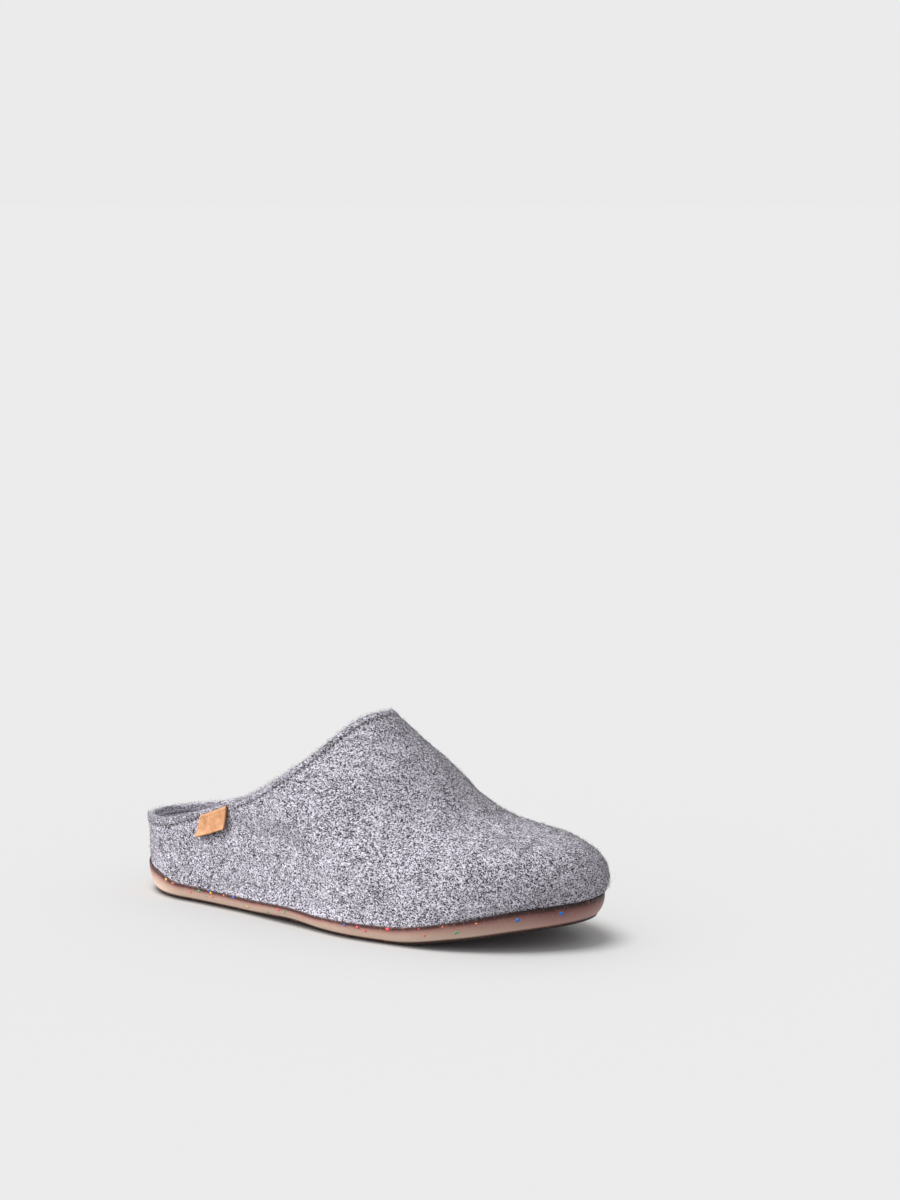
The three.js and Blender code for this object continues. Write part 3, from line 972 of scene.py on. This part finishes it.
def tread_relief(points, share):
    """Plain shallow waves across the heel and the forefoot, cut up into the tread."""
    x = points[..., 0]
    y = points[..., 1]
    wave = np.sin(2 * np.pi * (x + 0.0022 * np.sin(2 * np.pi * y / 0.021)) / GROOVE_PITCH)
    groove = rising(wave, 0.35, 0.4)
    along = x / LENGTH
    heel = rising(along, 0.04, 0.03) * falling(along, 0.30, 0.03)
    ball = rising(along, 0.50, 0.03) * falling(along, 0.93, 0.03)
    edge = rising(np.minimum(share, 1 - share), 0.07, 0.05)
    return GROOVE_DEPTH * groove * (heel + ball) * edge


def side_point(turn, share):
    """A point of the sole's side, from the tread's rounded edge (0) to the lip (1)."""
    along, _ = station(turn)
    point = inset_point(turn, TREAD_INSET * (1 - share) ** SIDE_ROUND)
    low = tread_height(along) + TREAD_ROUND
    high = rim_height(along) - LIP / 2
    point[..., 2] = low + (high - low) * share
    return point


SIDE_ROWS = 12
# The rubber darkens towards the toe, partly in a tint of its own and partly as painted shade: from which
# share along, over which share, and by which power.
TOE_DARK = (0.62, 0.34)
TOE_DARK_POWER = 1.8


def build_sole():
    turn = np.arange(SOLE_COLUMNS) / SOLE_COLUMNS
    along, _ = station(turn)
    tread = tread_height(along)
    rim = rim_height(along)
    rows = []
    sides = []

    def ring(inset, height, side):
        points = inset_point(turn, inset)
        points[:, 2] = height
        rows.append(points)
        sides.append(np.full(turn.shape, side))

    # The tread's rounded edge takes the ramp's painted shade.
    for q in np.linspace(0, np.pi / 2, 5)[:-1]:
        inset = TREAD_INSET + TREAD_ROUND * (1 - math.sin(q))
        ring(inset, tread + TREAD_ROUND * (1 - math.cos(q)), TREAD_SHADE_PLACE)
    for share in np.linspace(0, 1, SIDE_ROWS + 1):
        rows.append(side_point(turn, np.full(turn.shape, share)))
        sides.append(np.full(turn.shape, min(1 - share, TREAD_SHADE_PLACE)))
    # The lip takes the rim's darkest colour, partly painted shade.
    for q in np.linspace(0, np.pi, 7)[1:]:
        ring(LIP / 2 * (1 - math.cos(q)), rim - LIP / 2 * (1 - math.sin(q)), 0.0)
    ring(LIP, seat_height(along), 0.0)
    points = np.stack(rows).reshape(-1, 3)
    side = np.stack(sides).ravel()
    faces = ring_faces(len(rows), SOLE_COLUMNS, False).tolist()

    half = SOLE_COLUMNS // 2
    seat = (len(rows) - 1) * SOLE_COLUMNS
    rungs = np.arange(1, half)
    for i in rungs[:-1]:
        faces.append((seat + i, seat + i + 1, seat + SOLE_COLUMNS - i - 1, seat + SOLE_COLUMNS - i))
    faces.append((seat, seat + 1, seat + SOLE_COLUMNS - 1))
    faces.append((seat + half - 1, seat + half, seat + half + 1))

    # The tread is a grid of rungs between the outer and the inner side of its edge.
    outer = points[rungs]
    inner = points[SOLE_COLUMNS - rungs]
    share = (np.arange(1, TREAD_ACROSS) / TREAD_ACROSS)[None, :, None]
    middle = outer[:, None] * (1 - share) + inner[:, None] * share
    middle[..., 2] += tread_relief(middle, share[..., 0])
    start = len(points)
    points = np.concatenate([points, middle.reshape(-1, 3)])
    side = np.concatenate([side, np.ones(middle.shape[0] * middle.shape[1])])
    inside = start + np.arange(middle.shape[0] * middle.shape[1]).reshape(middle.shape[:2])
    net = np.concatenate([rungs[:, None], inside, (SOLE_COLUMNS - rungs)[:, None]], axis=1)
    quads = np.stack([net[:-1, :-1], net[:-1, 1:], net[1:, 1:], net[1:, :-1]], axis=-1)
    faces += quads.reshape(-1, 4).tolist()
    for a, b in zip(net[0, :-1], net[0, 1:]):
        faces.append((0, int(b), int(a)))
    for a, b in zip(net[-1, :-1], net[-1, 1:]):
        faces.append((half, int(a), int(b)))
    obj = piece("rubber_sole", points, faces, RUBBER, "outsole")
    point_values(obj, "side", side)
    point_values(obj, "toe", rising(points[:, 0] / LENGTH, *TOE_DARK) ** TOE_DARK_POWER)


# Coloured crumbs in the rubber: irregular flakes set flush in its side.
CRUMB_COLORS = {
    "yellow": (0.86, 0.47, 0.07),
    "orange": (0.75, 0.20, 0.07),
    "green": (0.02, 0.42, 0.17),
    "blue": (0.015, 0.16, 0.62),
    "red": (0.72, 0.07, 0.09),
}
# Crumbs of the outer side, listed one by one: colour, share along, share up the side, half width.
OUTER_CRUMBS = [
    ("yellow", 0.10, 0.90, 0.0006),
    ("orange", 0.12, 0.92, 0.0005),
    ("red", 0.165, 0.55, 0.0004),
    ("red", 0.185, 0.45, 0.0003),
    ("green", 0.19, 0.80, 0.0006),
    ("green", 0.205, 0.55, 0.0005),
    ("blue", 0.215, 0.97, 0.0004),
    ("yellow", 0.22, 0.88, 0.0008),
    ("orange", 0.222, 0.60, 0.0005),
    ("orange", 0.255, 0.90, 0.0004),
    ("blue", 0.28, 0.93, 0.0007),
    ("yellow", 0.315, 0.40, 0.0006),
    ("green", 0.37, 0.25, 0.0005),
    ("red", 0.405, 0.70, 0.0007),
    ("green", 0.42, 0.60, 0.0006),
    ("red", 0.47, 0.60, 0.0004),
    ("blue", 0.58, 0.85, 0.0005),
    ("red", 0.61, 0.80, 0.0006),
    ("red", 0.625, 0.62, 0.0007),
    ("red", 0.675, 0.88, 0.0008),
    ("red", 0.74, 0.92, 0.0004),
    ("red", 0.75, 0.45, 0.0004),
    ("orange", 0.785, 0.90, 0.0004),
    ("green", 0.81, 0.45, 0.0008),
    ("orange", 0.845, 0.80, 0.0004),
    ("blue", 0.91, 0.65, 0.0007),
    ("blue", 0.97, 0.65, 0.0009),
    ("red", 0.985, 0.42, 0.0004),
]
INNER_CRUMBS = 40
CRUMB_GROWTH = 1.45
CRUMB_SIDES = 7
CRUMB_STRETCH = 1.2
CRUMB_PROUD = 0.00005
CRUMB_SUNK = 0.0003


def crumb_places(rng):
    """Colour, turn, share up the side and half width of every crumb."""
    places = []
    for name, along, share, size in OUTER_CRUMBS:
        places.append((name, math.acos(1 - 2 * along) / (2 * math.pi), share, size))
    names = list(CRUMB_COLORS)
    for i in range(INNER_CRUMBS):
        turn = rng.uniform(0.5, 1.06) % 1.0
        share = rng.uniform(0.15, 0.95)
        places.append((names[i % len(names)], turn, share, 0.0003 + 0.0006 * rng.random() ** 1.5))
    return places


def build_crumbs():
    rng = np.random.default_rng(21)
    points = []
    faces = []
    slots = []
    names = list(CRUMB_COLORS)
    for name, turn, share, size in crumb_places(rng):
        middle = side_point(np.array(turn), np.array(share))
        ahead = unit(side_point(np.array(turn + NEAR), np.array(share)) - middle)
        up = unit(middle - side_point(np.array(turn), np.array(share - 0.05)))
        out = unit(np.cross(ahead, up))
        start = len(points)
        angles = 2 * np.pi * np.arange(CRUMB_SIDES) / CRUMB_SIDES + rng.uniform(0, 6)
        reach = CRUMB_GROWTH * size * rng.uniform(0.35, 1.4, CRUMB_SIDES)
        for angle, r in zip(angles, reach):
            points.append(middle + (math.cos(angle) * CRUMB_STRETCH * ahead + math.sin(angle) * up) * r)
        points.append(middle + CRUMB_PROUD * out)
        points.append(middle - CRUMB_SUNK * out)
        for i in range(CRUMB_SIDES):
            after = (i + 1) % CRUMB_SIDES
            faces.append((start + i, start + after, start + CRUMB_SIDES))
            faces.append((start + after, start + i, start + CRUMB_SIDES + 1))
            slots += [names.index(name)] * 2
    materials = [crumb_material("crumb_" + name, color) for name, color in CRUMB_COLORS.items()]
    obj = piece("sole_crumbs", np.array(points), faces, materials[0])
    for material in materials[1:]:
        obj.data.materials.append(material)
    obj.data.polygons.foreach_set("material_index", np.array(slots, np.int32))


# Felt insole.
INSOLE_COLUMNS = 360
BED_SOFT = 0.0002


def insole_rise(along, outer):
    share = np.where(outer, BED["outer"](along), BED["inner"](along))
    return BED_THICK + (BED_EDGE - BED_THICK) * share


def build_insole():
    turn = np.arange(INSOLE_COLUMNS) / INSOLE_COLUMNS
    along, outer = station(turn)
    edge = LIP + GAP + FELT + GAP
    bottom = seat_height(along) + GAP
    rise = insole_rise(along, outer)
    rows = []

    def ring(inset, height, soft=0.0):
        points = inset_point(turn, inset)
        points[:, 2] = height
        points[:, 2] += soft * waves(points, 0.012, 31)
        rows.append(points)

    ring(edge + BED_ROUND, bottom)
    ring(edge, bottom + BED_ROUND)
    ring(edge + BED_ROUND / 2, bottom + rise - BED_ROUND)
    ring(edge + BED_ROUND, bottom + rise - 0.3 * BED_ROUND)
    ring(edge + 2 * BED_ROUND, bottom + rise)
    for share in np.linspace(0, 1, 8)[1:]:
        ease = 0.5 - 0.5 * math.cos(math.pi * share)
        inset = edge + 2 * BED_ROUND + (BED_DISH - 2 * BED_ROUND) * share
        ring(inset, bottom + rise + (BED_THICK - rise) * ease, BED_SOFT)
    points = np.stack(rows).reshape(-1, 3)
    faces = ring_faces(len(rows), INSOLE_COLUMNS, False).tolist()
    half = INSOLE_COLUMNS // 2
    top = (len(rows) - 1) * INSOLE_COLUMNS
    for start, up in ((0, False), (top, True)):
        end = start + INSOLE_COLUMNS
        strip = [(start, start + 1, end - 1), (start + half - 1, start + half, start + half + 1)]
        strip += [(start + i, start + i + 1, end - i - 1, end - i) for i in range(1, half - 1)]
        faces += strip if up else [face[::-1] for face in strip]
    piece("felt_insole", points, faces, FELT_BED, "footbed")


# Leather tab.
TAB_COLUMNS = 44
TAB_ROWS = 26
# How far its corners are drawn in, how far its free end curls out, and how its edges round off.
TAB_DRAWN = 0.035
TAB_CURL = 0.0022
TAB_EDGE = 0.00035
TAB_STITCHES = 9
TAB_STITCH_PLACE = 0.13
TAB_STITCH_HALF = 0.03
TAB_STITCH_RADIUS = 0.00014
TAB_STITCH_RISE = 0.00016
TAB_STITCH_SUNK = 0.00003


def tab_place(across, down):
    """Turn and level of a place on the tab: (0, 0) is its top back corner, (1, 1) its lower front one."""
    x = LABEL_PLACE + LABEL_LENGTH * across - LABEL_SLANT * down
    below = LABEL_BELOW + LABEL_DROP * down + LABEL_ASKEW * (1 - across)
    low = np.full_like(x, NEAR)
    high = np.full_like(x, 0.5 - NEAR)
    for _ in range(HALVINGS):
        middle = (low + high) / 2
        ahead = upper_point(middle, level_below_collar(middle, below))[..., 0] > x
        high = np.where(ahead, middle, high)
        low = np.where(ahead, low, middle)
    return low, level_below_collar(low, below)


def build_tab():
    across, down = np.meshgrid(np.linspace(0, 1, TAB_COLUMNS), np.linspace(0, 1, TAB_ROWS))
    # Corners are drawn in a little, so that the outline is softly cut.
    u = 2 * across - 1
    v = 2 * down - 1
    pull = 1 - TAB_DRAWN * (u ** 8 * v ** 8)
    turn, level = tab_place((u * pull + 1) / 2, (v * pull + 1) / 2)
    base = upper_point(turn, level)
    normal = upper_normal(turn, level)
    under = BAND_PROUD + GAP
    rim = np.clip(np.minimum(1 - np.abs(u), (1 - np.abs(v)) * LABEL_DROP / LABEL_LENGTH) / 0.05, 0, 1)
    curl = TAB_CURL * np.clip(down - 0.35, 0, 1) ** 2 * (0.5 + np.abs(u))
    round_off = TAB_EDGE * (1 - np.sqrt(np.clip(1 - (1 - rim) ** 2, 0, 1)))
    outwards = under + LABEL_THICK + curl + uneven(base, TAB_WAVES) - round_off
    front = base + normal * outwards[..., None]
    back = base + normal * (under + curl * 0.9 + round_off)[..., None]
    count = TAB_ROWS * TAB_COLUMNS
    index = np.arange(count).reshape(TAB_ROWS, TAB_COLUMNS)
    quads = np.stack([index[:-1, :-1], index[1:, :-1], index[1:, 1:], index[:-1, 1:]], axis=-1)
    quads = quads.reshape(-1, 4)
    faces = quads.tolist() + (quads[:, ::-1] + count).tolist()
    border = np.concatenate([index[0, :-1], index[:-1, -1], index[-1, :0:-1], index[:0:-1, 0]])
    for a, b in zip(border, np.roll(border, -1)):
        faces.append((int(a), int(b), int(b) + count, int(a) + count))
    points = np.concatenate([front.reshape(-1, 3), back.reshape(-1, 3)])
    obj = piece("leather_tab", points, faces, LEATHER, "label")
    # Cut edges are darker leather; the whole back face takes the same dark colour as painted shade under
    # the tab.
    edge = np.clip(1.15 - 1.2 * rim, 0, 1).ravel()
    point_values(obj, "edge", np.concatenate([edge, np.ones(count)]))

    # A row of small stitches holds the tab along its top edge.
    places = np.linspace(2 * TAB_STITCH_HALF, 1 - 2 * TAB_STITCH_HALF, TAB_STITCHES)
    steps = np.linspace(-TAB_STITCH_HALF, TAB_STITCH_HALF, 6)
    at_across = places[:, None] + steps
    at_down = np.full_like(at_across, TAB_STITCH_PLACE)
    turn, level = tab_place(at_across, at_down)
    arch = np.sin(np.pi * np.linspace(0, 1, 6)) * TAB_STITCH_RISE - TAB_STITCH_SUNK
    lift = under + LABEL_THICK + arch
    paths = upper_point(turn, level) + upper_normal(turn, level) * lift[..., None]
    points, faces, _ = spindles(paths, TAB_STITCH_RADIUS, 6)
    piece("tab_stitches", points, faces.tolist(), TAB_THREAD)


# Nap: loose fibres that lie on the felt and stand out at its edges.
FIBRE_ROOT = 0.0001
THINNEST_FIBRE = 0.000035
THICKEST_FIBRE = 0.00006
# Shades of the fibres, how many have each, and how much they vary.
FIBRE_SHADES = (0.12, 0.45, 0.85)
FIBRE_SHARES = (0.42, 0.23, 0.35)
FIBRE_VARIES = 0.12
# How far below the collar's top the edge's fibres start, in the middle and how much more at its sides.
EDGE_TOP = 0.0001
EDGE_FALL = 0.0009


def nap(name, turn, level, outwards, side, length, lean, seed):
    """Fibres that start on the wall at the given places, on its outer (1) or inner (-1) face."""
    rng = np.random.default_rng(seed)
    count = len(turn)
    base = wall_face(turn, level, outwards, 1.0)
    normal = upper_normal(turn, level) * side
    ahead = unit(upper_point(turn + NEAR, level) - upper_point(turn, level))
    up = np.cross(normal, ahead)
    angle = rng.uniform(0, 2 * np.pi, count)[:, None]
    lying = np.cos(angle) * ahead + np.sin(angle) * up
    stand = rng.gamma(1.6, lean, count)[:, None]
    reach = length * rng.lognormal(0, 0.35, count)[:, None]
    bend = rng.normal(0, 0.22, count)[:, None]
    middle = base + (lying * 0.5 + np.cross(normal, lying) * bend + normal * stand * 0.65) * reach
    end = base + (lying + normal * stand) * reach
    start = base - normal * FIBRE_ROOT
    paths = np.stack([start, middle, end], axis=1)
    radius = rng.uniform(THINNEST_FIBRE, THICKEST_FIBRE, count)[:, None]
    points, faces, per = spindles(paths, radius, 3)
    obj = piece(name, points, faces.tolist(), NAP)
    shade = rng.choice(FIBRE_SHADES, count, p=FIBRE_SHARES) + rng.normal(0, FIBRE_VARIES, count)
    point_values(obj, "shade", np.repeat(np.clip(shade, 0, 1), per))


def turns_along_seam(pitch):
    """Turns at equal steps along the collar's seam."""
    places = np.arange(pitch / 2, SEAM_LENGTHS[-1], pitch)
    return np.interp(places, SEAM_LENGTHS, SEAM_TURNS)


def spread_over_wall(count, seed, low_share, high_share):
    """Random places, spread evenly over the wall's area."""
    rng = np.random.default_rng(seed)
    tries = 3 * count
    turn = rng.uniform(0, 1, tries)
    share = rng.uniform(low_share, high_share, tries)
    step = level_below_collar(turn, BAND + GAP)
    level = step * share
    along = upper_point(turn + NEAR, level) - upper_point(turn, level)
    up = upper_point(turn, level + NEAR) - upper_point(turn, level)
    area = np.linalg.norm(np.cross(along, up), axis=-1) * step
    keep = rng.uniform(0, 1, tries) * np.quantile(area, 0.995) < area
    return turn[keep][:count], level[keep][:count]


def build_nap():
    for part, name in enumerate(("upper_nap_a", "upper_nap_b")):
        turn, level = spread_over_wall(32000, seed=51 + part, low_share=0.045, high_share=1.0)
        nap(name, turn, level, 0.0, side=1, length=0.0022, lean=0.075, seed=61 + part)
    turn, level = spread_over_wall(12000, seed=53, low_share=0.2, high_share=1.0)
    nap("lining_nap", turn, level, -FELT, side=-1, length=0.0020, lean=0.08, seed=63)
    rng = np.random.default_rng(54)
    turn = turns_along_seam(0.00004)
    level = level_below_collar(turn, rng.uniform(0.0, BAND, len(turn)))
    nap("band_nap", turn, level, BAND_PROUD, side=1, length=0.0012, lean=0.11, seed=64)
    turn = turns_along_seam(0.00009)
    top = rng.uniform(-1, 1, len(turn))
    level = level_below_collar(turn, EDGE_TOP + EDGE_FALL * top ** 2)
    outwards = -FELT / 2 + top * FELT * 0.45
    nap("edge_nap", turn, level, outwards, side=1, length=0.0009, lean=0.20, seed=65)


place_camera()
floor = build_stage()
build_sky()
build_upper()
build_band()
build_stitches()
build_sole()
build_crumbs()
build_insole()
build_tab()
build_nap()
build_light(KEY_LIGHT, SLIPPER_PIECES)
build_light(FLOOR_LIGHT, [floor])
